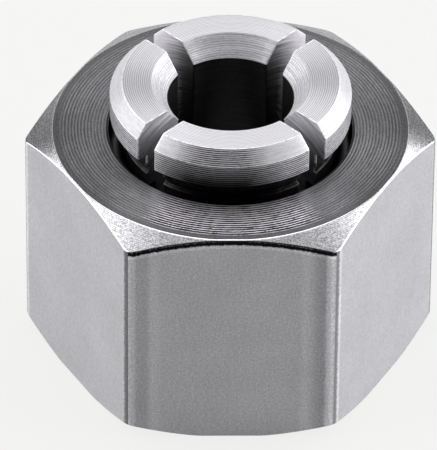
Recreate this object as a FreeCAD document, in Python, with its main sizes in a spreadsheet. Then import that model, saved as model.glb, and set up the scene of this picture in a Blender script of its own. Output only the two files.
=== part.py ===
import FreeCAD, Part
import os
import re
import Sketcher

# Die grinder collet: a slotted 6 mm collet held captive in its clamping nut by a wire snap ring.
# Frame: Z is the turning axis, the nut stands on Z = 0, one flat of its hexagon faces -Y.

# Driving dimensions, millimetres and degrees
SIZES = {
    "across_flats": 17.0,
    "nut_height": 12.0,
    "corner_round": 0.6,
    "chamfer_angle": 30.0,
    "crown_inset": 0.05,
    "foot_outset": 0.05,
    "mouth_break_width": 0.15,
    "mouth_break_depth": 0.06,
    "web_height": 0.85,
    "thread_diameter": 14.0,
    "thread_pitch": 1.0,
    "thread_lead_in": 0.2,
    "relief_width": 1.2,
    "relief_depth": 0.15,
    "seat_angle": 30.0,
    "seat_width": 0.7,
    "seat_step": 0.7,
    "seat_land": 0.12,
    "wire_diameter": 1.2,
    "ring_groove_depth": 0.35,
    "ring_clearance": 0.05,
    "ring_gap": 2.5,
    "shank_diameter": 6.0,
    "funnel_width": 0.76,
    "funnel_depth": 0.92,
    "head_clearance": 0.05,
    "head_rise": 0.9,
    "head_height": 1.88,
    "head_chamfer_width": 0.57,
    "head_chamfer_height": 0.64,
    "head_edge_break": 0.1,
    "neck_hold": 0.25,
    "neck_rest": 0.04,
    "neck_line_drop": 0.76,
    "neck_line_width": 0.36,
    "neck_line_depth": 0.15,
    "recess_clearance": 0.35,
    "float_travel": 0.4,
    "seat_clearance": 0.05,
    "shoulder_clearance": 0.2,
    "shoulder_band": 0.8,
    "taper_step": 0.2,
    "taper_angle": 10.0,
    "back_height": 0.4,
    "back_break": 0.3,
    "slot_width": 1.05,
    "slot_floor": 3.0,
    "jaw_number": 4,
}

# Depth of an ISO internal thread as a share of its pitch, both flanks together
THREAD_SHARE = 1.0825
# How far cutting profiles run past the metal that they cut
OVERCUT = 1.0

# Sizes that follow from the driving ones; each name stands for its expression
DERIVED = {
    "minor_radius": f"(thread_diameter - {THREAD_SHARE} * thread_pitch) / 2",
    "mouth_radius": "minor_radius - seat_width",
    "lead_radius": "thread_diameter / 2 + thread_lead_in",
    "relief_radius": "thread_diameter / 2 + relief_depth",
    "corner_radius": "across_flats / sqrt(3)",
    "crown_radius": "across_flats / 2 - crown_inset",
    "foot_radius": "across_flats / 2 + foot_outset",
    "outside_radius": f"corner_radius + {OVERCUT}",
    "ring_groove_radius": "mouth_radius + ring_groove_depth",
    "web_bottom": "nut_height - web_height",
    "ring_groove_bottom": "web_bottom - wire_diameter - 2 * ring_clearance",
    "seat_top": "ring_groove_bottom - seat_land",
    "seat_bottom": "seat_top - seat_width / tan(seat_angle)",
    "relief_top": "seat_bottom - seat_step",
    "thread_end": "relief_top - relief_width",
    "ring_height": "web_bottom - ring_clearance - wire_diameter / 2",
    "ring_radius": "ring_groove_radius - ring_clearance - wire_diameter / 2",
    "ring_inner_radius": "ring_radius - wire_diameter / 2",
    "ring_gap_angle": "2 * asin(ring_gap / 2 / ring_radius)",
    "bore_radius": "shank_diameter / 2",
    "head_radius": "mouth_radius - head_clearance",
    "head_bottom": "nut_height + head_rise",
    "head_top": "head_bottom + head_height",
    "land_radius": "head_radius - head_chamfer_width",
    "funnel_radius": "bore_radius + funnel_width",
    "neck_radius": "ring_inner_radius + neck_hold",
    "neck_line_radius": "neck_radius - neck_line_depth",
    "neck_line_top": "head_bottom - neck_line_drop",
    "neck_line_bottom": "neck_line_top - neck_line_width",
    "neck_bottom": "ring_height + sqrt(wire_diameter * neck_hold - neck_hold * neck_hold) + neck_rest",
    "recess_radius": "ring_inner_radius - recess_clearance",
    "shoulder_radius": "minor_radius - shoulder_clearance",
    "shoulder_lift": "shoulder_clearance / tan(seat_angle)",
    "cone_bottom": "seat_bottom + shoulder_lift - float_travel - seat_clearance",
    "cone_top": "cone_bottom + (seat_width - shoulder_clearance) / tan(seat_angle)",
    "band_bottom": "cone_bottom - shoulder_band",
    "taper_radius": "shoulder_radius - taper_step",
    "back_radius": "taper_radius - (band_bottom - back_height) * tan(taper_angle)",
}

doc = FreeCAD.newDocument("die_grinder_collet")
sheet = doc.addObject("Spreadsheet::Sheet", "Sizes")
for row, (alias, value) in enumerate(SIZES.items(), start=1):
    sheet.set(f"A{row}", alias)
    sheet.set(f"B{row}", str(value))
    sheet.setAlias(f"B{row}", alias)
doc.recompute()


def size(text):
    """Expression in which every size name is written out down to the cells of the sheet."""
    def replace(match):
        word = match.group(0)
        if word in SIZES:
            return "Sizes." + word
        if word in DERIVED:
            return "(" + size(DERIVED[word]) + ")"
        return word
    return re.sub(r"[a-z][a-z_]+", replace, text)


def value_of(text):
    """Present value of a size expression, to place a sketch's points before they are bound."""
    return float(sheet.evalExpression(size(text).replace("Sizes.", "")))


def new_body(label):
    body = doc.addObject("PartDesign::Body", label)
    body.Label = label
    return body


def origin_plane(body, role):
    return next(item for item in body.Origin.OriginFeatures if item.Role == role)


def closed_sketch(body, name, plane, points):
    """Closed outline of straight lines; each point is a pair of size expressions."""
    sketch = body.newObject("Sketcher::SketchObject", name)
    sketch.AttachmentSupport = [(origin_plane(body, plane), "")]
    sketch.MapMode = "FlatFace"
    count = len(points)
    spots = [tuple(value_of(text) for text in point) for point in points]
    for index, spot in enumerate(spots):
        start = FreeCAD.Vector(spot[0], spot[1], 0)
        after = spots[(index + 1) % count]
        sketch.addGeometry(Part.LineSegment(start, FreeCAD.Vector(after[0], after[1], 0)))
    for index, (point, spot) in enumerate(zip(points, spots)):
        sketch.addConstraint(Sketcher.Constraint("Coincident", (index - 1) % count, 2, index, 1))
        for kind, text, value in zip(("DistanceX", "DistanceY"), point, spot):
            place = sketch.addConstraint(Sketcher.Constraint(kind, -1, 1, index, 1, value))
            sketch.setExpression(f"Constraints[{place}]", size(text))
    return sketch


def turned(body, kind, name, points):
    """Revolution or Groove of an outline in the XZ plane about the body's own Z axis."""
    sketch = closed_sketch(body, name + "_outline", "XZ_Plane", points)
    feature = body.newObject(kind, name)
    feature.Profile = sketch
    feature.ReferenceAxis = (sketch, ["V_Axis"])
    feature.Angle = 360
    sketch.Visibility = False
    return feature


def make_nut():
    body = new_body("clamping_nut")
    corners = []
    for corner in range(6):
        angle = 60 * corner
        corners.append((f"corner_radius * cos({angle})", f"corner_radius * sin({angle})"))
    hexagon = closed_sketch(body, "hexagon", "XY_Plane", corners)
    blank = body.newObject("PartDesign::Pad", "hexagon_bar")
    blank.Profile = hexagon
    blank.setExpression("Length", size("nut_height"))
    doc.recompute()

    upright = []
    for number, edge in enumerate(blank.Shape.Edges, start=1):
        rise = abs(edge.Vertexes[0].Z - edge.Vertexes[-1].Z)
        if rise > 0:
            upright.append(f"Edge{number}")
    corners_rounded = body.newObject("PartDesign::Fillet", "rounded_corners")
    corners_rounded.Base = (blank, upright)
    corners_rounded.setExpression("Radius", size("corner_round"))

    turned(body, "PartDesign::Groove", "crown_chamfer", [
        ("crown_radius", "nut_height"),
        ("outside_radius", "nut_height"),
        ("outside_radius", "nut_height - (outside_radius - crown_radius) * tan(chamfer_angle)"),
    ])
    turned(body, "PartDesign::Groove", "foot_chamfer", [
        ("foot_radius", "0"),
        ("outside_radius", "(outside_radius - foot_radius) * tan(chamfer_angle)"),
        ("outside_radius", "0"),
    ])
    turned(body, "PartDesign::Groove", "turned_inside", [
        ("0", "0"),
        ("lead_radius", "0"),
        ("minor_radius", "lead_radius - minor_radius"),
        ("minor_radius", "thread_end"),
        ("relief_radius", "thread_end"),
        ("relief_radius", "relief_top"),
        ("minor_radius", "relief_top"),
        ("minor_radius", "seat_bottom"),
        ("mouth_radius", "seat_top"),
        ("mouth_radius", "ring_groove_bottom"),
        ("ring_groove_radius", "ring_groove_bottom"),
        ("ring_groove_radius", "web_bottom"),
        ("mouth_radius", "web_bottom"),
        ("mouth_radius", "nut_height - mouth_break_depth"),
        ("mouth_radius + mouth_break_width", "nut_height"),
        ("0", "nut_height"),
    ])
    return body


def make_snap_ring():
    body = new_body("snap_ring")
    section = body.newObject("Sketcher::SketchObject", "wire_section")
    section.AttachmentSupport = [(origin_plane(body, "XZ_Plane"), "")]
    section.MapMode = "FlatFace"
    centre = FreeCAD.Vector(value_of("ring_radius"), 0, 0)
    section.addGeometry(Part.Circle(centre, FreeCAD.Vector(0, 0, 1), value_of("wire_diameter / 2")))
    section.addConstraint(Sketcher.Constraint("PointOnObject", 0, 3, -1))
    place = section.addConstraint(Sketcher.Constraint("DistanceX", -1, 1, 0, 3, centre.x))
    section.setExpression(f"Constraints[{place}]", size("ring_radius"))
    wire = section.addConstraint(Sketcher.Constraint("Diameter", 0, value_of("wire_diameter")))
    section.setExpression(f"Constraints[{wire}]", size("wire_diameter"))

    bend = body.newObject("PartDesign::Revolution", "bent_wire")
    bend.Profile = section
    bend.ReferenceAxis = (section, ["V_Axis"])
    bend.setExpression("Angle", size("360 deg - ring_gap_angle"))
    body.setExpression("Placement.Base.z", size("ring_height"))
    body.setExpression("Placement.Rotation.Angle", size("90 deg + ring_gap_angle / 2"))
    return body


def make_collet():
    body = new_body("collet")
    turned(body, "PartDesign::Revolution", "turned_body", [
        ("bore_radius + back_break", "back_height"),
        ("back_radius - back_break", "back_height"),
        ("back_radius + back_break * tan(taper_angle)", "back_height + back_break"),
        ("taper_radius", "band_bottom"),
        ("shoulder_radius", "band_bottom"),
        ("shoulder_radius", "cone_bottom"),
        ("mouth_radius", "cone_top"),
        ("recess_radius", "cone_top"),
        ("recess_radius", "neck_bottom"),
        ("neck_radius", "neck_bottom"),
        ("neck_radius", "neck_line_bottom"),
        ("neck_line_radius", "neck_line_bottom"),
        ("neck_line_radius", "neck_line_top"),
        ("neck_radius", "neck_line_top"),
        ("neck_radius", "head_bottom"),
        ("head_radius - head_edge_break", "head_bottom"),
        ("head_radius", "head_bottom + head_edge_break"),
        ("head_radius", "head_top - head_chamfer_height"),
        ("land_radius", "head_top"),
        ("funnel_radius", "head_top"),
        ("bore_radius", "head_top - funnel_depth"),
        ("bore_radius", "back_height + back_break"),
    ])
    reach = f"shoulder_radius + {OVERCUT}"
    saw = closed_sketch(body, "saw_cut", "XY_Plane", [
        ("0", "-slot_width / 2"),
        (reach, "-slot_width / 2"),
        (reach, "slot_width / 2"),
        ("0", "slot_width / 2"),
    ])
    saw.setExpression("AttachmentOffset.Base.z", size("back_height + slot_floor"))
    saw.AttachmentOffset = FreeCAD.Placement(
        FreeCAD.Vector(0, 0, 0), FreeCAD.Rotation(FreeCAD.Vector(0, 0, 1), 45))
    slot = body.newObject("PartDesign::Pocket", "front_slot")
    slot.Profile = saw
    slot.Type = "Length"
    slot.Reversed = True
    slot.setExpression("Length", size("head_top - back_height - slot_floor"))
    doc.recompute()

    slots = body.newObject("PartDesign::PolarPattern", "front_slots")
    slots.Originals = [slot]
    slots.Axis = (saw, ["N_Axis"])
    slots.Angle = 360
    slots.setExpression("Occurrences", size("jaw_number"))
    body.Tip = slots
    return body


def check(pieces):
    """Stop before anything is written if a feature failed or a piece isn't one valid solid."""
    for item in doc.Objects:
        if "Invalid" in item.State or "Error" in item.State:
            raise RuntimeError(f"{item.Label}: {item.State}")
    for piece in pieces:
        shape = piece.Shape
        if shape.isNull() or not shape.isValid() or len(shape.Solids) != 1:
            raise RuntimeError(f"{piece.Label} is not one valid solid")


pieces = [make_nut(), make_snap_ring(), make_collet()]
doc.recompute()
check(pieces)
os.makedirs("parts", exist_ok=True)
for piece in pieces:
    piece.Shape.exportStep(f"parts/{piece.Label}.step")
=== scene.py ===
import math

import bmesh
import bpy
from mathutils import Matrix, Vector


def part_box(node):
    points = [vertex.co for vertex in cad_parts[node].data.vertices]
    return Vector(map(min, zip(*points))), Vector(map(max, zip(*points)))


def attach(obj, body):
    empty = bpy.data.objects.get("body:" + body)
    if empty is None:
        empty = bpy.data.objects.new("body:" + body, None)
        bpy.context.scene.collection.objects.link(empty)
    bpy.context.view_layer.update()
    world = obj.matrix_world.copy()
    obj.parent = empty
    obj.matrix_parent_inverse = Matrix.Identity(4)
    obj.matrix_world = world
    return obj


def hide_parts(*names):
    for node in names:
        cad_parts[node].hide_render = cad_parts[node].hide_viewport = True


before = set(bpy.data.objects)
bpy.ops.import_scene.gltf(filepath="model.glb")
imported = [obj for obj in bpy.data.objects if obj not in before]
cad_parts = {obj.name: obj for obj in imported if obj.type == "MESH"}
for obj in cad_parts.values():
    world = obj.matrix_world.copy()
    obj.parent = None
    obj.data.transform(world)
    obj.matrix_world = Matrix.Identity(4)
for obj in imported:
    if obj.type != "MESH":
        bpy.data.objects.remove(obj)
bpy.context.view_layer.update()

# Sizes in millimetres, as in the CAD source
MM = 0.001
nut_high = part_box("clamping_nut")[1]
collet_low, collet_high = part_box("collet")
ring_low, ring_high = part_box("snap_ring")
HALF_FLATS = nut_high.y / MM
CROWN = nut_high.z / MM
TOP = collet_high.z / MM
BACK = collet_low.z / MM
RING_HEIGHT = (ring_low.z + ring_high.z) / 2 / MM
WIRE_RADIUS = (ring_high.z - ring_low.z) / 2 / MM

# The nut's outside: the hexagon with its rounded corners, and a chamfer at either end
SECTOR = math.radians(60)
CORNER_ROUND = 0.6
FACE_REACH = math.atan2((HALF_FLATS - CORNER_ROUND) * math.tan(SECTOR / 2), HALF_FLATS)
CHAMFER_SLOPE = math.tan(math.radians(30))
CROWN_CIRCLE = HALF_FLATS - 0.05
FOOT_CIRCLE = HALF_FLATS + 0.05
EDGE_ROUND = 0.12
# Degrees round the nut, across its front, between which the crown's edge gets the bright burnished finish as
# a painted highlight
FRONT_HIGHLIGHT_FROM, FRONT_HIGHLIGHT_TO = 215, 325

# The nut's inside, from the thread at its foot to the mouth at its crown
THREAD_RADIUS = 7.0
THREAD_PITCH = 1.0
THREAD_DEPTH = 1.0825 * THREAD_PITCH / 2
MINOR_RADIUS = THREAD_RADIUS - THREAD_DEPTH
# Where the thread's root ends and its crest starts, as shares of half a pitch
ROOT_END, CREST_START = 0.18, 0.9
THREAD_FADE = 0.15
LEAD_RADIUS = THREAD_RADIUS + 0.2
LEAD_HEIGHT = LEAD_RADIUS - MINOR_RADIUS
RELIEF_RADIUS = THREAD_RADIUS + 0.15
MOUTH_STEP = 0.7
MOUTH_RADIUS = MINOR_RADIUS - MOUTH_STEP
SEAT_SLOPE = math.tan(math.radians(30))
WEB_BOTTOM = CROWN - 0.85
RING_GROOVE_RADIUS = MOUTH_RADIUS + 0.35
RING_GROOVE_BOTTOM = RING_HEIGHT - WIRE_RADIUS - 0.05
SEAT_TOP = RING_GROOVE_BOTTOM - 0.12
SEAT_BOTTOM = SEAT_TOP - MOUTH_STEP / SEAT_SLOPE
RELIEF_TOP = SEAT_BOTTOM - 0.7
THREAD_END = RELIEF_TOP - 1.2
RING_RADIUS = RING_GROOVE_RADIUS - 0.05 - WIRE_RADIUS
RING_GAP = 2.5

# The collet, from its head down to its back
BORE_RADIUS = 3.0
FUNNEL_RADIUS = BORE_RADIUS + 0.76
FUNNEL_DEPTH = 0.92
FUNNEL_RIM = 0.05
HEAD_RADIUS = MOUTH_RADIUS - 0.05
HEAD_BOTTOM = CROWN + 0.9
HEAD_MIDDLE = (HEAD_BOTTOM + TOP) / 2
HEAD_CHAMFER_WIDTH = 0.57
HEAD_CHAMFER_HEIGHT = 0.64
LAND_RADIUS = HEAD_RADIUS - HEAD_CHAMFER_WIDTH
LAND_MIDDLE = (LAND_RADIUS + FUNNEL_RADIUS) / 2
RING_HOLD = 0.25
NECK_RADIUS = RING_RADIUS - WIRE_RADIUS + RING_HOLD
NECK_LINE_RADIUS = NECK_RADIUS - 0.15
NECK_LINE_TOP = HEAD_BOTTOM - 0.76
NECK_LINE_BOTTOM = NECK_LINE_TOP - 0.36
NECK_LINE_FLANK = 0.05
NECK_BOTTOM = RING_HEIGHT + math.sqrt(2 * WIRE_RADIUS * RING_HOLD - RING_HOLD ** 2) + 0.04
RECESS_RADIUS = RING_RADIUS - WIRE_RADIUS - 0.35
SHOULDER_PLAY = 0.2
SHOULDER_RADIUS = MINOR_RADIUS - SHOULDER_PLAY
CONE_BOTTOM = SEAT_BOTTOM + SHOULDER_PLAY / SEAT_SLOPE - 0.45
CONE_TOP = CONE_BOTTOM + (MOUTH_STEP - SHOULDER_PLAY) / SEAT_SLOPE
BAND_BOTTOM = CONE_BOTTOM - 0.8
TAPER_RADIUS = SHOULDER_RADIUS - 0.2
TAPER_SLOPE = math.tan(math.radians(10))
BACK_RADIUS = TAPER_RADIUS - (BAND_BOTTOM - BACK) * TAPER_SLOPE
BACK_CHAMFER = 0.3
SLOT_WIDTH = 1.05
SLOT_FLOOR = BACK + 3.0
FLOOR_RADIUS = TAPER_RADIUS - (BAND_BOTTOM - SLOT_FLOOR) * TAPER_SLOPE
JAWS = 4
QUARTER = math.tau / JAWS
# The round of a jaw's edges, no more than this share of the wall beside it
JAW_EDGE, JAW_EDGE_SHARE = 0.07, 0.3
# How far below the head its edges still take the edge finish with its painted highlight
HIGHLIGHT_BELOW_HEAD = 0.3

# How finely the pieces are divided
FACE_STEPS, CORNER_STEPS = 30, 12
FACE_ARC, CONE_STEPS, SIDE_ARC = 3, 6, 10
THREAD_ROWS = 84
ARC_STEPS, BEND_STEPS, WALL_STEPS, GAP_STEPS = 26, 3, 8, 4
SHARP_ANGLE = math.radians(28)
# Points closer than this many metres become one, and a run that climbs less than this is level
WELD = 2e-8
LEVEL = 1e-6

# The places of the finishes in each piece's list of materials
NUT_CROWN, NUT_FLATS, NUT_CHAMFER, NUT_INSIDE, NUT_EDGE = range(5)
LAND, SIDE, LIP, FUNNEL, BORE, SLOT, HEAD_EDGE, NECK = range(8)

# The photograph's frame and the camera that a fit to it gave
PHOTO_WIDTH, PHOTO_HEIGHT = 437, 450
CAMERA_ELEVATION = math.radians(39.147)
CAMERA_AZIMUTH = math.radians(-0.922)
CAMERA_ROLL = math.radians(0.495)
CAMERA_DISTANCE = 0.35445
PIXELS_PER_METRE = 20901.6
NUT_CENTRE_PIXEL = (229.43, 225.63)

LAMP_DISTANCE = 0.4

# The table top shows mostly its own pale colour to the camera and in the metal, and some shadow
FLOOR_COLOUR = (0.55, 0.55, 0.547, 1)
FLOOR_GLOW_COLOUR = (0.955, 0.955, 0.945, 1)
FLOOR_GLOW_SHARE = 0.85

# Turned steel: how far its shine is drawn out, and the quarter turn that lays it across the marks
ANISOTROPY = 0.88
ANISOTROPY_TURN = 0.25
# The radius from which the crown's tone falls outwards
CROWN_MIDDLE = 7.1
# Beyond the lined part of the crown: the width that the lines fade over, and how much darker it is
LINES_FADE = 0.2
PLAIN_DARKER = 0.06
# The coarse lines of a front, painted glints and shade: weights of feed lines and streaks, and where dark
# ends and light starts
FRONT_FEED, FRONT_STREAKS = 0.34, 0.9
FRONT_DARK_TO, FRONT_LIGHT_FROM = 0.30, 0.64

# Painted shade and strips are pairs of a place and the share of the tone there
# The crown's painted shade, darkest beside its front where it stands for dark reflections, from its sides at
# 0 to its front at 1
CROWN_PAINTED_SHADE = [(0.0, 1.0), (0.2, 0.95), (0.4, 0.78), (0.5, 0.72), (0.62, 0.68), (0.69, 0.75), (0.76, 0.88),
                (0.82, 1.0)]
# A side of the nut, from corner to corner: one kind has painted light strips at its corners, the other
# painted fine lines; both stand for reflections on the rounded corners
SIDE_STRIPS = [(0.0, 1.1), (0.034, 1.05), (0.045, 0.8), (0.09, 0.77), (0.115, 1.0), (0.145, 0.98),
               (0.17, 0.91), (0.82, 0.91), (0.845, 1.02), (0.865, 1.02), (0.89, 0.88), (0.915, 0.74),
               (0.944, 0.68), (0.955, 1.1), (0.985, 1.5), (1.0, 1.0)]
SIDE_LINES = [(0.0, 0.6), (0.018, 0.6), (0.024, 1.4), (0.036, 1.4), (0.046, 1.0), (0.955, 1.0), (0.965, 1.12),
              (0.976, 0.45), (1.0, 0.3)]
# Millimetres down from the rim of a side: a painted dark reflection line, then a painted light strip
RIM_LINE = [(0.0, 0.4), (0.04, 0.01), (0.21, 0.01), (0.27, 1.25), (0.36, 1.3), (0.46, 1.0)]
# How far the strips and the rim's line waver, and how metallic the sides are beside that line
STRIP_WAVER, RIM_WAVER = 0.45, 0.28
FLATS_METALLIC = 0.35
WHITE = (1, 1, 1, 1)

# Radius and height of the saw's centre, from which the marks on the slots' walls are struck
SAW_CENTRE = (2.6, 9.5)
# Painted shade by depth below the top, over this many millimetres: the walls darken downwards
SHADE_DEPTH = 4.0
SLOT_DEPTH_SHADE = [(0.1, 1.0), (0.5, 0.35), (0.8, 0.12)]
# Painted shade from front to back across the head, over this distance to either side of the axis
SHADE_REACH = 5.0
SLOT_PAINTED_SHADE = [(0.08, 0.7), (0.28, 1.0), (0.6, 0.7), (0.71, 0.2), (0.77, 0.32), (0.84, 1.0)]
# Behind the axis the walls get a painted highlight further out, and the saw marks fray where that starts
PAINTED_SHINE_FROM, PAINTED_SHINE_TO = 3.4167, 4.25
PAINTED_SHINE_FRAY = 0.8


def rounded(points, radii, steps=4):
    """Open polyline of (r, z) with each inner corner turned into an arc of its own radius."""
    result = [points[0]]
    for before, corner, after, radius in zip(points, points[1:], points[2:], radii):
        back = Vector(before) - Vector(corner)
        ahead = Vector(after) - Vector(corner)
        turn = math.pi - back.angle(ahead)
        if radius <= 0 or turn < 0.02:
            result.append(corner)
            continue
        reach = min(radius * math.tan(turn / 2), 0.45 * back.length, 0.45 * ahead.length)
        start = Vector(corner) + back.normalized() * reach
        end = Vector(corner) + ahead.normalized() * reach
        for step in range(steps + 1):
            share = step / steps
            first = start.lerp(Vector(corner), share)
            second = Vector(corner).lerp(end, share)
            result.append(tuple(first.lerp(second, share)))
    result.append(points[-1])
    return result


def divided(points, longest):
    """The polyline with its long runs cut into even pieces no longer than the given length."""
    result = [points[0]]
    for before, after in zip(points, points[1:]):
        count = max(1, math.ceil(math.dist(before, after) / longest))
        for step in range(1, count + 1):
            share = step / count
            result.append((before[0] + (after[0] - before[0]) * share,
                           before[1] + (after[1] - before[1]) * share))
    return result


def even(start, end, count):
    """The line from one (r, z) to another as a fixed number of even pieces."""
    return [(start[0] + (end[0] - start[0]) * step / count, start[1] + (end[1] - start[1]) * step / count)
            for step in range(count + 1)]


def polar(radius, angle, height):
    return Vector((radius * math.cos(angle), radius * math.sin(angle), height)) * MM


def finish_mesh(name, mesh_maker, materials, body, node):
    """Object from a bmesh: welded, outward, smooth but for its real edges, and riding its body."""
    mesh = bpy.data.meshes.new(name)
    bmesh.ops.remove_doubles(mesh_maker, verts=mesh_maker.verts, dist=WELD)
    bmesh.ops.recalc_face_normals(mesh_maker, faces=mesh_maker.faces)
    for face in mesh_maker.faces:
        face.smooth = True
    for edge in mesh_maker.edges:
        edge.smooth = len(edge.link_faces) == 2 and edge.calc_face_angle(0) < SHARP_ANGLE
    mesh_maker.to_mesh(mesh)
    mesh_maker.free()
    piece = bpy.data.objects.new(name, mesh)
    bpy.context.scene.collection.objects.link(piece)
    for material in materials:
        mesh.materials.append(material)
    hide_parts(node)
    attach(piece, body)


def hexagon_radius(angle):
    """Distance from the axis to the hexagon's side, with its rounded corners, at an angle."""
    off_corner = (angle + SECTOR / 2) % SECTOR - SECTOR / 2
    centre = (HALF_FLATS - CORNER_ROUND) / math.cos(SECTOR / 2)
    if abs(off_corner) < SECTOR / 2 - FACE_REACH:
        across = centre * math.sin(off_corner)
        return centre * math.cos(off_corner) + math.sqrt(CORNER_ROUND ** 2 - across ** 2)
    return HALF_FLATS / math.cos(SECTOR / 2 - abs(off_corner))


def hexagon_angles():
    """Angles round the nut, closer together round its corners."""
    corner_half = SECTOR / 2 - FACE_REACH
    angles = []
    for corner in range(6):
        middle = corner * SECTOR
        for step in range(CORNER_STEPS):
            angles.append(middle - corner_half + 2 * corner_half * step / CORNER_STEPS)
        for step in range(FACE_STEPS):
            angles.append(middle + corner_half + 2 * FACE_REACH * step / FACE_STEPS)
    return angles


def edge_arcs(plane_height, inward, side, circle):
    """Rounded way from a flat end face over its chamfer cone to the hexagon's side.

    A ball of the edge's radius rolls inside the outline; where the chamfer runs out in the
    middle of a side, the ball touches the end face and the side together.
    """
    upright = math.radians(90)
    lean = math.radians(60)
    slant = EDGE_ROUND / math.cos(math.radians(30))
    face_centre = min(circle + (EDGE_ROUND - slant) / CHAMFER_SLOPE, side - EDGE_ROUND)
    side_centre = side - EDGE_ROUND
    drop = max(EDGE_ROUND, (side_centre - circle) * CHAMFER_SLOPE + slant)
    points = []
    for step in range(FACE_ARC + 1):
        angle = upright - (upright - lean) * step / FACE_ARC
        points.append((face_centre + EDGE_ROUND * math.cos(angle),
                       plane_height + inward * (EDGE_ROUND - EDGE_ROUND * math.sin(angle))))
    side_arc = []
    for step in range(SIDE_ARC + 1):
        angle = lean * (1 - step / SIDE_ARC)
        side_arc.append((side_centre + EDGE_ROUND * math.cos(angle),
                         plane_height + inward * (drop - EDGE_ROUND * math.sin(angle))))
    return points + even(points[-1], side_arc[0], CONE_STEPS)[1:-1] + side_arc


def thread_radius(height, angle):
    """Inside of the nut's right-hand thread: flanks, a flat crest and a flat root."""
    turn = (height / THREAD_PITCH - angle / math.tau) % 1
    flank = min(turn, 1 - turn) * 2
    depth = min(max((CREST_START - flank) / (CREST_START - ROOT_END), 0), 1)
    fade = min(max((height - LEAD_HEIGHT) / THREAD_FADE, 0), 1)
    return MINOR_RADIUS + THREAD_DEPTH * depth * fade


def nut_profile(angle):
    """The nut's closed outline at an angle, as runs of points with the finish of each."""
    side = hexagon_radius(angle)
    mouth = rounded([(MOUTH_RADIUS, WEB_BOTTOM + 0.1), (MOUTH_RADIUS, CROWN - 0.06),
                     (MOUTH_RADIUS + 0.15, CROWN), (MOUTH_RADIUS + 0.4, CROWN)], [0.05, 0.1])
    mouth_wall_end = 5
    top_edge = edge_arcs(CROWN, -1, side, CROWN_CIRCLE)
    cone_end = FACE_ARC + CONE_STEPS
    bend_middle = cone_end + SIDE_ARC // 2
    foot_edge = edge_arcs(0, 1, side, FOOT_CIRCLE)[::-1]
    # Across the front the crown's edge takes the bright burnished finish: a painted highlight
    front_highlight = FRONT_HIGHLIGHT_FROM < math.degrees(angle) % 360 < FRONT_HIGHLIGHT_TO
    thread = [(LEAD_RADIUS, 0)]
    for row in range(THREAD_ROWS + 1):
        height = LEAD_HEIGHT + (THREAD_END - LEAD_HEIGHT) * row / THREAD_ROWS
        thread.append((thread_radius(height, angle), height))
    return [
        (NUT_INSIDE, mouth[:mouth_wall_end + 1]),
        (NUT_CROWN, mouth[mouth_wall_end:] + even(mouth[-1], top_edge[0], 12)),
        (NUT_EDGE if front_highlight else NUT_CHAMFER, top_edge[:FACE_ARC + 1]),
        (NUT_CHAMFER, top_edge[FACE_ARC:cone_end]),
        (NUT_EDGE, top_edge[cone_end:bend_middle + 1]),
        (NUT_FLATS, top_edge[bend_middle:]),
        (NUT_FLATS, even(top_edge[-1], foot_edge[0], 10)),
        (NUT_FLATS, foot_edge),
        (NUT_CROWN, even(foot_edge[-1], (LEAD_RADIUS, 0), 4)),
        (NUT_INSIDE, thread),
        (NUT_INSIDE, rounded([
            (MINOR_RADIUS, THREAD_END + 0.02), (RELIEF_RADIUS, THREAD_END + 0.3),
            (RELIEF_RADIUS, RELIEF_TOP - 0.05), (MINOR_RADIUS, RELIEF_TOP),
            (MINOR_RADIUS, SEAT_BOTTOM), (MOUTH_RADIUS, SEAT_TOP),
            (MOUTH_RADIUS, RING_GROOVE_BOTTOM), (RING_GROOVE_RADIUS, RING_GROOVE_BOTTOM),
            (RING_GROOVE_RADIUS, WEB_BOTTOM), (MOUTH_RADIUS, WEB_BOTTOM),
            (MOUTH_RADIUS, WEB_BOTTOM + 0.1)], [0.1, 0.1, 0.04, 0.04, 0.04, 0.03, 0.05, 0.05, 0.03], 3)),
    ]


def build_nut(materials):
    """Hexagonal nut as a grid: one closed profile at each angle, joined to its neighbours."""
    maker = bmesh.new()
    columns = []
    zone_columns = []
    for angle in hexagon_angles():
        points = [(zone, point) for zone, run in nut_profile(angle) for point in run]
        columns.append([maker.verts.new(polar(radius, angle, height)) for zone, (radius, height) in points])
        zone_columns.append([zone for zone, point in points])
    count = len(columns[0])
    for index, (column, zones) in enumerate(zip(columns, zone_columns)):
        after = columns[(index + 1) % len(columns)]
        for row in range(count):
            below = (row + 1) % count
            face = maker.faces.new((column[row], after[row], after[below], column[below]))
            face.material_index = zones[row]
    finish_mesh("hexagon_clamping_nut", maker, materials, "nut", "clamping_nut")


def slot_side(radius, edge, inner):
    """Centre of the rounded corner between a slot's wall and a circle, in the slot's frame."""
    lift = SLOT_WIDTH / 2 + edge
    reach = radius + edge if inner else radius - edge
    return math.sqrt(reach ** 2 - lift ** 2), lift


def jaw_side(outer, inner, edge):
    """Half a slot's corners and wall in the slot's frame, from the outer arc to the inner one."""
    outer_radius, outer_height = outer
    inner_radius, inner_height = inner
    along, lift = slot_side(outer_radius, edge, False)
    lean = math.atan2(lift, along)
    half = []
    for step in range(BEND_STEPS + 1):
        bend = lean - (lean + math.pi / 2) * step / BEND_STEPS
        half.append((along + edge * math.cos(bend), lift + edge * math.sin(bend), outer_height))
    in_along, in_lift = slot_side(inner_radius, edge, True)
    in_lean = math.atan2(in_lift, in_along)
    inner_half = []
    for step in range(BEND_STEPS + 1):
        bend = -math.pi / 2 - (math.pi / 2 - in_lean) * step / BEND_STEPS
        inner_half.append((in_along + edge * math.cos(bend), in_lift + edge * math.sin(bend),
                           inner_height))
    wall = []
    for step in range(1, WALL_STEPS):
        share = step / WALL_STEPS
        wall.append(tuple(a + (b - a) * share for a, b in zip(half[-1], inner_half[0])))
    return half + wall + inner_half


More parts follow.
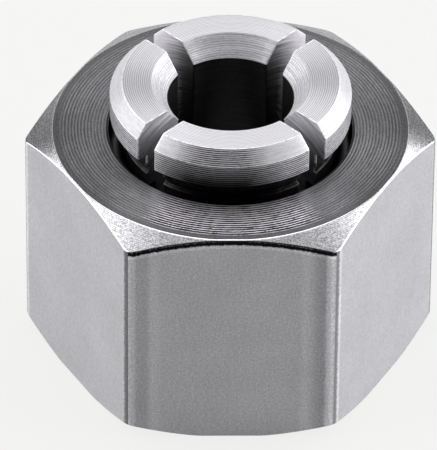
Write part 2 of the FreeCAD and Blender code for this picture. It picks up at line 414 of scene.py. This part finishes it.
def jaw_loop(jaw, outer, inner, edge):
    """Points round one jaw's section: slot wall, inner arc, slot wall, outer arc."""
    side = jaw_side(outer, inner, edge)
    start = jaw * QUARTER + QUARTER / 2
    loop = []
    for x, y, height in side:
        angle = start + math.atan2(y, x)
        loop.append(polar(math.hypot(x, y), angle, height))
    inner_lean = math.atan2(side[-1][1], side[-1][0])
    for step in range(1, ARC_STEPS):
        angle = start + inner_lean + (QUARTER - 2 * inner_lean) * step / ARC_STEPS
        loop.append(polar(inner[0], angle, inner[1]))
    for x, y, height in reversed(side):
        angle = start + QUARTER - math.atan2(y, x)
        loop.append(polar(math.hypot(x, y), angle, height))
    outer_lean = math.atan2(side[0][1], side[0][0])
    for step in range(ARC_STEPS - 1, 0, -1):
        angle = start + outer_lean + (QUARTER - 2 * outer_lean) * step / ARC_STEPS
        loop.append(polar(outer[0], angle, outer[1]))
    return loop, len(side)


def ring_points(radius, height):
    """Full circle that shares its points with the jaws' arcs and divides the slots between them."""
    lean = math.asin(SLOT_WIDTH / 2 / radius)
    points = []
    for jaw in range(JAWS):
        start = jaw * QUARTER + QUARTER / 2
        for step in range(ARC_STEPS):
            angle = start + lean + (QUARTER - 2 * lean) * step / ARC_STEPS
            points.append(polar(radius, angle, height))
        for step in range(GAP_STEPS):
            angle = start + QUARTER - lean + 2 * lean * step / GAP_STEPS
            points.append(polar(radius, angle, height))
    return points


def zone_of(place, side_count, total, outer, inner, index):
    """Which finish a face of a jaw has, from where it lies round the section and along the profile."""
    arc = (total - 2 * side_count) // 2
    for start in (0, side_count + arc):
        if start <= place < start + side_count - 1:
            across = place - start if start == 0 else start + side_count - 2 - place
            # Slot corners near the head and the funnel take the edge finish with its painted highlight
            if across < BEND_STEPS:
                return HEAD_EDGE if outer[index][1] > HEAD_BOTTOM - HIGHLIGHT_BELOW_HEAD else SLOT
            if across >= side_count - 1 - BEND_STEPS:
                return HEAD_EDGE if inner[index][1] > TOP - FUNNEL_DEPTH else BORE
            return SLOT
    on_inner = side_count - 1 <= place < side_count + arc
    before, after = (inner if on_inner else outer)[index - 1:index + 1]
    if abs(after[1] - before[1]) < LEVEL:
        return LAND if after[1] > HEAD_MIDDLE else NECK
    if on_inner:
        return FUNNEL if after[0] > BORE_RADIUS + 0.01 else BORE
    if after[1] < HEAD_BOTTOM:
        return NECK
    slope = abs(after[0] - before[0]) / abs(after[1] - before[1])
    slope_play = 0.01
    if after[1] < HEAD_MIDDLE or slope <= slope_play:
        return SIDE
    return HEAD_EDGE if abs(slope - HEAD_CHAMFER_WIDTH / HEAD_CHAMFER_HEIGHT) > slope_play else LIP


def collet_profiles():
    """The jaws' outer profile from the slots' floor to the land, and an inner point for each outer one."""
    outer = divided(rounded([
        (FLOOR_RADIUS, SLOT_FLOOR), (TAPER_RADIUS, BAND_BOTTOM), (SHOULDER_RADIUS, BAND_BOTTOM),
        (SHOULDER_RADIUS, CONE_BOTTOM), (MOUTH_RADIUS, CONE_TOP), (RECESS_RADIUS, CONE_TOP),
        (RECESS_RADIUS, NECK_BOTTOM), (NECK_RADIUS, NECK_BOTTOM), (NECK_RADIUS, NECK_LINE_BOTTOM),
        (NECK_LINE_RADIUS, NECK_LINE_BOTTOM + NECK_LINE_FLANK),
        (NECK_LINE_RADIUS, NECK_LINE_TOP - NECK_LINE_FLANK),
        (NECK_RADIUS, NECK_LINE_TOP), (NECK_RADIUS, HEAD_BOTTOM), (HEAD_RADIUS, HEAD_BOTTOM),
        (HEAD_RADIUS, TOP - HEAD_CHAMFER_HEIGHT), (LAND_RADIUS, TOP), (LAND_MIDDLE, TOP)],
        [0.08, 0.08, 0.06, 0.06, 0.1, 0.1, 0.04, 0.04, 0.03, 0.03, 0.04, 0.08, 0.12, 0.06, 0.06]), 0.3)
    run = [0.0]
    for before, after in zip(outer, outer[1:]):
        run.append(run[-1] + abs(after[1] - before[1]) + 0.05 * abs(after[0] - before[0]))
    land_start = next(i for i, point in enumerate(outer) if point[1] > TOP - LEVEL)
    rim_radius = FUNNEL_RADIUS - FUNNEL_RIM * (FUNNEL_RADIUS - BORE_RADIUS) / FUNNEL_DEPTH
    inner_line = divided(rounded([(BORE_RADIUS, SLOT_FLOOR), (BORE_RADIUS, TOP - FUNNEL_DEPTH),
                                  (rim_radius, TOP - FUNNEL_RIM)], [0.12]), 0.02)
    inner = []
    for index in range(len(outer)):
        if index >= land_start:
            share = (index - land_start) / (len(outer) - 1 - land_start)
            inner.append((FUNNEL_RADIUS + (LAND_MIDDLE - FUNNEL_RADIUS) * share, TOP))
            continue
        share = run[index] / run[land_start - 1]
        inner.append(inner_line[round(share * (len(inner_line) - 1))])
    return outer, inner


def add_jaws(maker):
    """Four jaws, each a stack of sections joined upwards."""
    outer, inner = collet_profiles()
    for jaw in range(JAWS):
        previous = None
        for index, (out, inn) in enumerate(zip(outer, inner)):
            edge = min(JAW_EDGE, JAW_EDGE_SHARE * math.dist(out, inn)) * min(1, index / 2)
            points, side_count = jaw_loop(jaw, out, inn, edge)
            loop = [maker.verts.new(point) for point in points]
            if previous:
                total = len(loop)
                for place in range(total):
                    after = (place + 1) % total
                    face = maker.faces.new((previous[place], previous[after], loop[after], loop[place]))
                    face.material_index = zone_of(place, side_count, total, outer, inner, index)
            previous = loop


def add_back(maker):
    """Whole ring at the collet's back, from the slots' floor on the taper round to the bore."""
    profile = divided(rounded([(FLOOR_RADIUS, SLOT_FLOOR), (BACK_RADIUS + 0.05, BACK + BACK_CHAMFER),
                               (BACK_RADIUS - BACK_CHAMFER, BACK), (BORE_RADIUS + BACK_CHAMFER, BACK),
                               (BORE_RADIUS, BACK + BACK_CHAMFER), (BORE_RADIUS, SLOT_FLOOR)],
                              [0.08, 0.08, 0.08, 0.08]), 0.5)
    circles = [[maker.verts.new(point) for point in ring_points(radius, height)]
               for radius, height in profile]
    for before, after, (radius, height) in zip(circles, circles[1:], profile):
        zone = LAND
        if radius < BORE_RADIUS + 0.02:
            zone = BORE
        elif radius > BORE_RADIUS + 0.4 and height > BACK + 0.01:
            zone = SIDE
        for place in range(len(before)):
            nxt = (place + 1) % len(before)
            face = maker.faces.new((before[place], after[place], after[nxt], before[nxt]))
            face.material_index = zone


def add_slot_floors(maker):
    """Floors of the slots, between the taper and the bore."""
    floor_outer = ring_points(FLOOR_RADIUS, SLOT_FLOOR)
    floor_inner = ring_points(BORE_RADIUS, SLOT_FLOOR)
    for jaw in range(JAWS):
        first = jaw * (ARC_STEPS + GAP_STEPS) + ARC_STEPS
        grid = []
        for step in range(GAP_STEPS + 1):
            place = (first + step) % len(floor_outer)
            grid.append([maker.verts.new(floor_outer[place].lerp(floor_inner[place], row / WALL_STEPS))
                         for row in range(WALL_STEPS + 1)])
        for left, right in zip(grid, grid[1:]):
            for row in range(WALL_STEPS):
                face = maker.faces.new((left[row], left[row + 1], right[row + 1], right[row]))
                face.material_index = SLOT


def build_collet(materials):
    """Slotted collet: four jaws stand on a whole ring at its back."""
    maker = bmesh.new()
    add_jaws(maker)
    add_back(maker)
    add_slot_floors(maker)
    finish_mesh("slotted_collet", maker, materials, "collet", "collet")


def build_ring(materials):
    """Split ring of round wire, its cut ends slightly rounded."""
    maker = bmesh.new()
    half_gap = math.asin(RING_GAP / 2 / RING_RADIUS)
    start = math.pi / 2 + half_gap
    sweep = math.tau - 2 * half_gap
    end_round = 0.15
    around, steps = 28, 120
    stations = []
    for share in (0, 0.4, 0.75, 1):
        stations.append((end_round * (1 - math.cos(share * math.pi / 2)) / RING_RADIUS,
                         WIRE_RADIUS - end_round + end_round * math.sin(share * math.pi / 2)))
    lead = end_round / RING_RADIUS
    middle = [(lead + (sweep - 2 * lead) * step / steps, WIRE_RADIUS) for step in range(1, steps)]
    stations = stations + middle + [(sweep - turn, radius) for turn, radius in reversed(stations)]
    loops = []
    for turn, radius in stations:
        angle = start + turn
        loops.append([maker.verts.new(polar(RING_RADIUS + radius * math.cos(math.tau * k / around), angle,
                                            RING_HEIGHT + radius * math.sin(math.tau * k / around)))
                      for k in range(around)])
    for before, after in zip(loops, loops[1:]):
        for place in range(around):
            nxt = (place + 1) % around
            maker.faces.new((before[place], before[nxt], after[nxt], after[place]))
    maker.faces.new(loops[0])
    maker.faces.new(loops[-1])
    finish_mesh("wire_snap_ring", maker, materials, "ring", "snap_ring")


def steel_grey(value):
    """Grey with steel's slight cold tint."""
    return (value * 1.015, value, value * 1.05)


class Nodes:
    """Short way to build a node material in object coordinates measured in millimetres."""

    def __init__(self, name, material=None):
        self.material = material or bpy.data.materials.new(name)
        self.material.use_nodes = True
        self.tree = self.material.node_tree
        self.shader = self.tree.nodes["Principled BSDF"]
        place = self.tree.nodes.new("ShaderNodeTexCoord")
        scale = self.tree.nodes.new("ShaderNodeVectorMath")
        scale.operation = "SCALE"
        scale.inputs["Scale"].default_value = 1 / MM
        self.tree.links.new(place.outputs["Object"], scale.inputs[0])
        self.place = scale.outputs[0]
        split = self.tree.nodes.new("ShaderNodeSeparateXYZ")
        self.tree.links.new(self.place, split.inputs[0])
        self.x, self.y, self.z = split.outputs
        self.radius = self.length(self.x, self.y)
        self.turn = self.math("ARCTAN2", self.y, self.x)

    def put(self, socket, value):
        if isinstance(value, bpy.types.NodeSocket):
            self.tree.links.new(value, socket)
        else:
            socket.default_value = value

    def math(self, operation, first, second=0.0):
        node = self.tree.nodes.new("ShaderNodeMath")
        node.operation = operation
        self.put(node.inputs[0], first)
        self.put(node.inputs[1], second)
        return node.outputs[0]

    def plus(self, first, second):
        return self.math("ADD", first, second)

    def minus(self, first, second):
        return self.math("SUBTRACT", first, second)

    def times(self, first, second):
        return self.math("MULTIPLY", first, second)

    def over(self, first, second):
        return self.math("DIVIDE", first, second)

    def length(self, first, second):
        """Length of the way with these two parts, at right angles."""
        return self.math("SQRT", self.plus(self.times(first, first), self.times(second, second)))

    def between(self, value, start, end):
        """Where a value lies on the way from a start, 0, to an end, 1."""
        return self.over(self.minus(value, start), end - start)

    def vector(self, x, y, z):
        node = self.tree.nodes.new("ShaderNodeCombineXYZ")
        for socket, value in zip(node.inputs, (x, y, z)):
            self.put(socket, value)
        return node.outputs[0]

    def noise(self, vector, scale, detail, roughness):
        node = self.tree.nodes.new("ShaderNodeTexNoise")
        self.put(node.inputs["Vector"], vector)
        node.inputs["Scale"].default_value = scale
        node.inputs["Detail"].default_value = detail
        node.inputs["Roughness"].default_value = roughness
        return node.outputs["Fac"]

    def ramp(self, value, stops):
        """Colour ramp; stops are pairs of a place and a grey or a colour."""
        node = self.tree.nodes.new("ShaderNodeValToRGB")
        elements = node.color_ramp.elements
        while len(elements) < len(stops):
            elements.new(0.5)
        for element, (place, colour) in zip(elements, stops):
            element.position = place
            element.color = (*colour, 1) if isinstance(colour, tuple) else (colour, colour, colour, 1)
        self.put(node.inputs["Fac"], value)
        return node.outputs["Color"]

    def multiply(self, first, second):
        """Product of two colours."""
        node = self.tree.nodes.new("ShaderNodeVectorMath")
        node.operation = "MULTIPLY"
        self.tree.links.new(first, node.inputs[0])
        self.tree.links.new(second, node.inputs[1])
        return node.outputs[0]

    def mix(self, share, first, second):
        """The first colour, a socket or a plain one, or the second where the share is 1."""
        node = self.tree.nodes.new("ShaderNodeMix")
        node.data_type = "RGBA"
        self.tree.links.new(share, node.inputs["Factor"])
        self.put(node.inputs[6], first)
        self.put(node.inputs[7], second)
        return node.outputs[2]

    def clamp(self, value):
        node = self.tree.nodes.new("ShaderNodeClamp")
        self.tree.links.new(value, node.inputs["Value"])
        return node.outputs[0]

    def span(self, value, low, high):
        """The value moved from 0..1 to low..high."""
        node = self.tree.nodes.new("ShaderNodeMapRange")
        self.put(node.inputs["Value"], value)
        node.inputs["To Min"].default_value = low
        node.inputs["To Max"].default_value = high
        return node.outputs[0]

    def bump(self, value, depth):
        """Relief of the given depth in millimetres."""
        node = self.tree.nodes.new("ShaderNodeBump")
        node.inputs["Strength"].default_value = 1.0
        node.inputs["Distance"].default_value = depth * MM
        self.put(node.inputs["Height"], value)
        self.tree.links.new(node.outputs["Normal"], self.shader.inputs["Normal"])

    def tangent_round_axis(self):
        node = self.tree.nodes.new("ShaderNodeTangent")
        node.direction_type = "RADIAL"
        node.axis = "Z"
        self.tree.links.new(node.outputs[0], self.shader.inputs["Tangent"])


class Turned(Nodes):
    """Nodes of a lathe-turned surface: its feed lines, and the scratches and streaks along them."""

    def __init__(self, name, pitch, along):
        super().__init__(name)
        self.pitch = pitch
        self.path = self.plus(self.times(self.radius, along[0]), self.times(self.z, along[1]))
        self.around_x = self.over(self.x, self.radius)
        self.around_y = self.over(self.y, self.radius)
        drift = self.along_turn(repeats=1.2, fineness=0.3 * pitch, detail=2.0)
        self.feed = self.math("SINE", self.plus(self.times(self.path, math.tau / pitch),
                                                self.times(drift, 2.0)))
        self.scratches = self.along_turn(repeats=0.8, fineness=1.4, detail=2.0)
        self.streaks = self.along_turn(repeats=14.0, fineness=1.6, detail=3.0)

    def along_turn(self, repeats, fineness, detail):
        """Noise drawn out along the turn; its fineness across the turn goes with the feed."""
        place = self.vector(self.times(self.around_x, repeats), self.times(self.around_y, repeats),
                            self.times(self.path, fineness / self.pitch))
        return self.noise(place, scale=1.0, detail=detail, roughness=0.65)

    def sector(self, middle, half_angle, sharpness):
        """1 round a middle direction and 0 beyond the half angle, both in degrees."""
        toward_x = self.times(self.around_x, math.cos(math.radians(middle)))
        toward_y = self.times(self.around_y, math.sin(math.radians(middle)))
        facing = self.minus(self.plus(toward_x, toward_y), math.cos(math.radians(half_angle)))
        return self.clamp(self.times(facing, sharpness))

    def painted_front_lines(self, uneven, dark, light, rise, shade_heights):
        """Coarse broken lines between two greys, painted glints and shade; the rise lets more of them be
        dark.

        Between the two heights of shade_heights, if given, they come up out of a painted shade.
        """
        broken = self.plus(self.times(self.feed, FRONT_FEED), self.times(self.streaks, FRONT_STREAKS))
        colour = self.ramp(self.plus(broken, uneven),
                           [(FRONT_DARK_TO + rise, steel_grey(dark)), (FRONT_LIGHT_FROM, steel_grey(light))])
        if shade_heights:
            colour = self.multiply(colour, self.ramp(self.between(self.z, *shade_heights), [(0.0, 0.08), (1.0, 1.0)]))
        return colour


def turned_steel(name, dark, light, roughness, pitch, along, lines=0.2, scratches=0.35,
                 streaks=0.35, pits=0.2, contrast=0.12, depth=0.003, metallic=1.0, plain_from=None,
                 outward=0.0, front=None, sector=(270, 33, 14), shade_heights=None, glancing=1.0, painted_shade=None):
    """Lathe-turned steel: feed lines that follow the profile, and scratches, short streaks and pits.

    The lines lie a pitch apart along a way through radius and height. Beyond the radius plain_from
    they fade out, and outward darkens the tone for each millimetre of radius. In a sector, given by
    its middle, its half angle and how sharply it ends, the lines are coarse painted glints and shade:
    front has their dark and light greys and their rise, and shade_heights the heights they come up
    between out of a painted shade. A low glancing dulls what is seen at a flat angle. The painted
    shade, darkest beside the front, runs from the sides, 0, to the front, 1.
    """
    nodes = Turned(name, pitch, along)
    nodes.bump(nodes.plus(nodes.times(nodes.feed, 1.5 * lines), nodes.scratches), depth)
    fine = nodes.times(nodes.feed, 0.4 * lines)
    for part, weight in ((nodes.scratches, scratches), (nodes.streaks, streaks)):
        fine = nodes.plus(fine, nodes.times(nodes.minus(part, 0.5), weight))
    lined = 1.0
    if plain_from:
        half_fade = LINES_FADE / 2
        lined = nodes.clamp(nodes.between(nodes.radius, plain_from + half_fade, plain_from - half_fade))
        fine = nodes.minus(nodes.times(nodes.plus(fine, PLAIN_DARKER), lined), PLAIN_DARKER)
    grain = nodes.minus(nodes.noise(nodes.place, scale=12.0, detail=3.0, roughness=0.7), 0.5)
    fall = nodes.times(nodes.minus(nodes.radius, CROWN_MIDDLE), outward)
    uneven = nodes.minus(nodes.times(grain, pits), fall)
    colour = nodes.ramp(nodes.plus(nodes.plus(fine, 0.5), uneven),
                        [(0.5 - contrast, steel_grey(dark)), (0.5 + contrast, steel_grey(light))])
    # Painted shade: the crown darkens beside its front, standing for dark reflections
    if painted_shade:
        colour = nodes.multiply(colour, nodes.ramp(nodes.times(nodes.around_y, -1.0), painted_shade))
    # Painted glints and shade: coarse lines in the front sector
    if front:
        share = nodes.times(nodes.sector(*sector), lined)
        colour = nodes.mix(share, colour, nodes.painted_front_lines(uneven, *front, shade_heights))
    nodes.put(nodes.shader.inputs["Base Color"], colour)
    nodes.shader.inputs["Metallic"].default_value = metallic
    nodes.shader.inputs["Specular Tint"].default_value = (glancing, glancing, glancing, 1)
    uneven_roughness = nodes.span(nodes.scratches, roughness - 0.05, roughness + 0.05)
    nodes.put(nodes.shader.inputs["Roughness"], uneven_roughness)
    nodes.shader.inputs["Anisotropic"].default_value = ANISOTROPY
    nodes.shader.inputs["Anisotropic Rotation"].default_value = ANISOTROPY_TURN
    nodes.tangent_round_axis()
    return nodes.material


def drawn_steel(name, dark, light, roughness, grain=9.0, metallic=1.0, depth=0.006):
    """Plain drawn steel: faint grain along its length, small pits and soft clouding."""
    nodes = Nodes(name)
    across, along = 9.0, 1.6
    drawn_out = nodes.vector(nodes.times(nodes.x, across), nodes.times(nodes.y, across),
                             nodes.times(nodes.z, along))
    fibre = nodes.noise(drawn_out, scale=1.0, detail=4.0, roughness=0.65)
    pits = nodes.noise(nodes.place, scale=grain, detail=4.0, roughness=0.7)
    clouds = nodes.noise(nodes.place, scale=0.35, detail=2.0, roughness=0.5)
    mixed = nodes.times(fibre, 0.2)
    for part, weight in ((pits, 0.6), (clouds, 0.2)):
        mixed = nodes.plus(mixed, nodes.times(part, weight))
    nodes.bump(nodes.plus(nodes.times(fibre, 0.3), nodes.times(pits, 0.7)), depth)
    colour = nodes.ramp(mixed, [(0.36, steel_grey(dark)), (0.64, steel_grey(light))])
    nodes.put(nodes.shader.inputs["Base Color"], colour)
    nodes.shader.inputs["Metallic"].default_value = metallic
    nodes.put(nodes.shader.inputs["Roughness"], nodes.span(mixed, roughness - 0.06, roughness + 0.08))
    return nodes.material


def bar_flats(name, dark, light, roughness):
    """The hexagon bar's own sides: satin, with strips and lines at its rounded corners that are painted
    reflections.

    The sides differ by turns: every other one, the front among them, has painted light strips at its
    corners and a painted dark reflection line under its rim, the ones between have a painted dark and
    a painted light line at their corners.
    """
    material = drawn_steel(name, dark, light, roughness, grain=8.0, metallic=FLATS_METALLIC)
    nodes = Nodes(name, material)
    width = 2 * HALF_FLATS * math.tan(SECTOR / 2)
    sectors = nodes.over(nodes.plus(nodes.turn, math.tau), SECTOR)
    off_middle = nodes.times(nodes.minus(nodes.math("FRACT", sectors), 0.5), SECTOR)
    across = nodes.times(nodes.math("TANGENT", off_middle), HALF_FLATS / width)
    ragged = nodes.minus(nodes.noise(nodes.place, scale=9.0, detail=4.0, roughness=0.75), 0.5)
    place = nodes.plus(nodes.plus(across, 0.5), nodes.times(ragged, STRIP_WAVER / width))
    # Every other side, the front among them, gets the painted strips and the painted dark rim line
    alternate = nodes.math("GREATER_THAN", nodes.math("SINE", nodes.times(nodes.turn, 3.0)), 0.0)
    rim = nodes.minus(CROWN + CROWN_CIRCLE * CHAMFER_SLOPE, nodes.times(nodes.radius, CHAMFER_SLOPE))
    under_rim = nodes.plus(nodes.minus(rim, nodes.z), nodes.times(ragged, RIM_WAVER))
    line = nodes.mix(alternate, WHITE, nodes.ramp(under_rim, RIM_LINE))
    speckle = nodes.noise(nodes.place, scale=12.0, detail=3.0, roughness=0.7)
    worn = nodes.ramp(speckle, [(0.35, 0.82), (0.52, 1.0), (0.68, 1.3)])
    strips = nodes.multiply(nodes.ramp(place, SIDE_STRIPS), worn)
    corners = nodes.mix(alternate, nodes.ramp(place, SIDE_LINES), strips)
    base = nodes.shader.inputs["Base Color"]
    nodes.put(base, nodes.multiply(nodes.multiply(base.links[0].from_socket, corners), line))
    nodes.shader.inputs["Specular IOR Level"].default_value = 0.25
    # The painted dark line turns fully metallic, so that it shows near black
    in_line = nodes.math("LESS_THAN", line, 0.5)
    nodes.put(nodes.shader.inputs["Metallic"], nodes.span(in_line, FLATS_METALLIC, 1.0))
    return material


def sawn_steel(name, dark, light, roughness):
    """Wall of a saw slot: arcs of the cutter, painted shade further down and from front to back, and a
    painted highlight at the back's outer ends.
    """
    nodes = Nodes(name)
    arc = nodes.length(nodes.minus(nodes.radius, SAW_CENTRE[0]), nodes.minus(nodes.z, SAW_CENTRE[1]))
    across, along = 10.0, 0.8
    drawn_out = nodes.vector(nodes.times(arc, across), nodes.times(nodes.z, along),
                             nodes.times(nodes.turn, along))
    lines = nodes.noise(drawn_out, scale=1.0, detail=5.0, roughness=0.7)
    nodes.bump(lines, 0.012)
    marks_dark, marks_light = 0.37, 0.63
    clean = nodes.ramp(lines, [(marks_dark, steel_grey(dark)), (marks_light, steel_grey(light))])
    # Painted shade: darker with depth, and by place from front to back
    depth_shade = nodes.ramp(nodes.between(nodes.z, TOP, TOP - SHADE_DEPTH), SLOT_DEPTH_SHADE)
    across_shade = nodes.ramp(nodes.between(nodes.y, -SHADE_REACH, SHADE_REACH), SLOT_PAINTED_SHADE)
    colour = nodes.multiply(nodes.multiply(clean, depth_shade), across_shade)
    # Painted highlight on the walls' outer ends behind the axis
    frayed = nodes.plus(nodes.y, nodes.times(lines, PAINTED_SHINE_FRAY))
    shine = nodes.clamp(nodes.between(frayed, PAINTED_SHINE_FROM, PAINTED_SHINE_TO))
    bright = nodes.ramp(lines, [(marks_dark, steel_grey(0.85)), (marks_light, steel_grey(0.95))])
    nodes.put(nodes.shader.inputs["Base Color"], nodes.mix(shine, colour, bright))
    nodes.shader.inputs["Metallic"].default_value = 0.5
    nodes.put(nodes.shader.inputs["Roughness"], nodes.span(lines, roughness - 0.08, roughness + 0.1))
    return nodes.material


def worn_highlight_steel(name):
    """Edge of a turned piece, a little broken, as from wear; its pale, partly diffuse colour is mostly a
    painted highlight.
    """
    nodes = Nodes(name)
    nicks = nodes.noise(nodes.place, scale=6.0, detail=4.0, roughness=0.7)
    nodes.bump(nicks, 0.01)
    colour = nodes.ramp(nicks, [(0.38, steel_grey(0.55)), (0.5, steel_grey(0.93))])
    nodes.put(nodes.shader.inputs["Base Color"], colour)
    nodes.shader.inputs["Metallic"].default_value = 0.5
    nodes.put(nodes.shader.inputs["Roughness"], nodes.span(nicks, 0.3, 0.45))
    return nodes.material


def panel(name, azimuth, elevation, wide, high, radiance):
    """Soft lamp that faces the part; its place and its size are angles as the part sees them."""
    light = bpy.data.lights.new(name, "AREA")
    light.shape = "RECTANGLE"
    light.size = 2 * LAMP_DISTANCE * math.tan(math.radians(wide / 2))
    light.size_y = 2 * LAMP_DISTANCE * math.tan(math.radians(high / 2))
    light.energy = radiance * math.pi * light.size * light.size_y
    lamp = bpy.data.objects.new(name, light)
    bpy.context.scene.collection.objects.link(lamp)
    azimuth, elevation = math.radians(azimuth), math.radians(elevation)
    away = Vector((math.cos(azimuth) * math.cos(elevation), math.sin(azimuth) * math.cos(elevation),
                   math.sin(elevation)))
    lamp.location = Vector((0, 0, CROWN / 2 * MM)) + away * LAMP_DISTANCE
    lamp.rotation_euler = (-away).to_track_quat("-Z", "Y").to_euler()
    lamp.visible_camera = False


def build_floor():
    """Pale table top; it shows the object's soft shadow."""
    maker = bmesh.new()
    bmesh.ops.create_grid(maker, x_segments=4, y_segments=4, size=2.0)
    mesh = bpy.data.meshes.new("table_top")
    maker.to_mesh(mesh)
    maker.free()
    floor = bpy.data.objects.new("table_top", mesh)
    bpy.context.scene.collection.objects.link(floor)
    material = bpy.data.materials.new("pale_table")
    material.use_nodes = True
    tree = material.node_tree
    shader = tree.nodes["Principled BSDF"]
    shader.inputs["Base Color"].default_value = FLOOR_COLOUR
    shader.inputs["Roughness"].default_value = 0.9
    shader.inputs["Specular IOR Level"].default_value = 0.0
    glow = tree.nodes.new("ShaderNodeEmission")
    glow.inputs["Color"].default_value = FLOOR_GLOW_COLOUR
    glow.inputs["Strength"].default_value = 1.0
    rays = tree.nodes.new("ShaderNodeLightPath")
    seen = rays.outputs["Is Camera Ray"]
    for kind in ("Is Glossy Ray", "Is Transmission Ray"):
        either = tree.nodes.new("ShaderNodeMath")
        either.operation = "MAXIMUM"
        tree.links.new(seen, either.inputs[0])
        tree.links.new(rays.outputs[kind], either.inputs[1])
        seen = either.outputs[0]
    share = tree.nodes.new("ShaderNodeMath")
    share.operation = "MULTIPLY"
    share.inputs[1].default_value = FLOOR_GLOW_SHARE
    tree.links.new(seen, share.inputs[0])
    mix = tree.nodes.new("ShaderNodeMixShader")
    tree.links.new(share.outputs[0], mix.inputs["Fac"])
    tree.links.new(shader.outputs["BSDF"], mix.inputs[1])
    tree.links.new(glow.outputs["Emission"], mix.inputs[2])
    tree.links.new(mix.outputs["Shader"], tree.nodes["Material Output"].inputs["Surface"])
    mesh.materials.append(material)


def build_camera():
    """The photograph's camera: a long lens, looking down at the front flat."""
    back = Vector((math.sin(CAMERA_AZIMUTH) * math.cos(CAMERA_ELEVATION),
                   -math.cos(CAMERA_AZIMUTH) * math.cos(CAMERA_ELEVATION), math.sin(CAMERA_ELEVATION)))
    level = Vector((math.cos(CAMERA_AZIMUTH), math.sin(CAMERA_AZIMUTH), 0))
    upright = back.cross(level)
    right = level * math.cos(CAMERA_ROLL) + upright * math.sin(CAMERA_ROLL)
    up = upright * math.cos(CAMERA_ROLL) - level * math.sin(CAMERA_ROLL)
    data = bpy.data.cameras.new("photo_camera")
    data.lens = PIXELS_PER_METRE * CAMERA_DISTANCE / PHOTO_HEIGHT * data.sensor_width
    data.clip_start = 0.01
    camera = bpy.data.objects.new("photo_camera", data)
    bpy.context.scene.collection.objects.link(camera)
    aim = Vector((0, 0, CROWN / 2 * MM))
    aim -= right * (NUT_CENTRE_PIXEL[0] - PHOTO_WIDTH / 2) / PIXELS_PER_METRE
    aim += up * (NUT_CENTRE_PIXEL[1] - PHOTO_HEIGHT / 2) / PIXELS_PER_METRE
    camera.location = aim + back * CAMERA_DISTANCE
    matrix = camera.matrix_world.to_3x3()
    for row in range(3):
        matrix[row][0], matrix[row][1], matrix[row][2] = right[row], up[row], back[row]
    camera.rotation_euler = matrix.to_euler()
    bpy.context.scene.camera = camera


build_camera()
build_floor()

# Turned finishes: dark and light grey, roughness, pitch, and the way along radius and height
nut_materials = [
    # The crown: painted glints in its front sector and painted shade beside the front
    turned_steel("turned_crown", 0.11, 0.31, 0.36, 0.155, (1, 0), lines=0.5, scratches=0.5, streaks=0.6,
                 pits=1.0, contrast=0.22, depth=0.007, plain_from=8.08, outward=0.09, front=(0.0, 0.94, 0.17),
                 painted_shade=CROWN_PAINTED_SHADE),
    bar_flats("drawn_flats", 0.43, 0.61, 0.62),
    turned_steel("turned_chamfer", 0.28, 0.80, 0.36, 0.09, (-0.87, 0.5), lines=0.1, scratches=0.2,
                 streaks=0.2, pits=0.9, depth=0.001),
    # Near black, its glancing shine dulled: painted shade inside the nut
    turned_steel("threaded_inside", 0.006, 0.02, 0.40, 0.1, (1, 1), glancing=0.05),
    drawn_steel("burnished_edge", 0.60, 0.85, 0.15, depth=0.001),
]
collet_materials = [
    turned_steel("turned_land", 0.52, 0.80, 0.36, 0.10, (1, 0), lines=0.6, depth=0.001),
    # The head's side: painted shade on its front, darkest low down
    turned_steel("turned_side", 0.14, 0.85, 0.32, 0.116, (0, 1), lines=0.5, streaks=0.6, pits=0.5,
                 depth=0.001, metallic=0.75, front=(0.01, 0.40, 0.0), sector=(263, 33, 7.5),
                 shade_heights=(13.1, 14.1)),
    # The lip: painted shade on its front
    turned_steel("turned_lip", 0.55, 0.74, 0.46, 0.095, (-0.66, 0.75), lines=0.15, streaks=0.5, pits=0.4,
                 depth=0.001, metallic=0.25, front=(0.02, 0.62, 0.11), sector=(265, 24, 14)),
    turned_steel("turned_funnel", 0.42, 0.80, 0.46, 0.11, (0.64, 0.77), scratches=0.6, depth=0.001,
                 metallic=0.3),
    # Near black: painted shade down the bore
    turned_steel("reamed_bore", 0.03, 0.07, 0.35, 0.08, (0, 1), depth=0.001),
    sawn_steel("sawn_slot", 0.28, 0.95, 0.55),
    worn_highlight_steel("worn_edge_painted_highlight"),
    # Near black, its glancing shine dulled: painted shade under the head
    turned_steel("turned_neck", 0.005, 0.06, 0.34, 0.12, (0, 1), streaks=0.6, depth=0.001, glancing=0.05),
]
ring_materials = [drawn_steel("spring_wire", 0.06, 0.10, 0.4)]

build_nut(nut_materials)
build_collet(collet_materials)
build_ring(ring_materials)

# Soft lamps round the part: azimuth, elevation, width and height in degrees, then radiance
for name, azimuth, elevation, wide, high, radiance in (
        ("left_window", 172, 25, 60, 46, 3.1),
        ("right_window", 12, 25, 64, 46, 4.0),
        ("left_high", 165, 60, 36, 24, 1.4),
        ("right_high", 15, 60, 36, 24, 0.7),
        ("back_low", 90, 36, 46, 28, 0.75),
        ("back_high", 90, 60, 32, 24, 2.1),
        ("overhead", 90, 86, 34, 28, 1.5),
        ("front_left", 208, 38, 14, 26, 1.3),
        ("front_right", 326, 26, 18, 34, 1.2)):
    panel(name, azimuth, elevation, wide, high, radiance)

world = bpy.data.worlds.new("studio")
bpy.context.scene.world = world
world.use_nodes = True
world.node_tree.nodes["Background"].inputs["Color"].default_value = (0.03, 0.03, 0.03, 1)
world.node_tree.nodes["Background"].inputs["Strength"].default_value = 1.0

bpy.context.scene.view_settings.view_transform = "Standard"
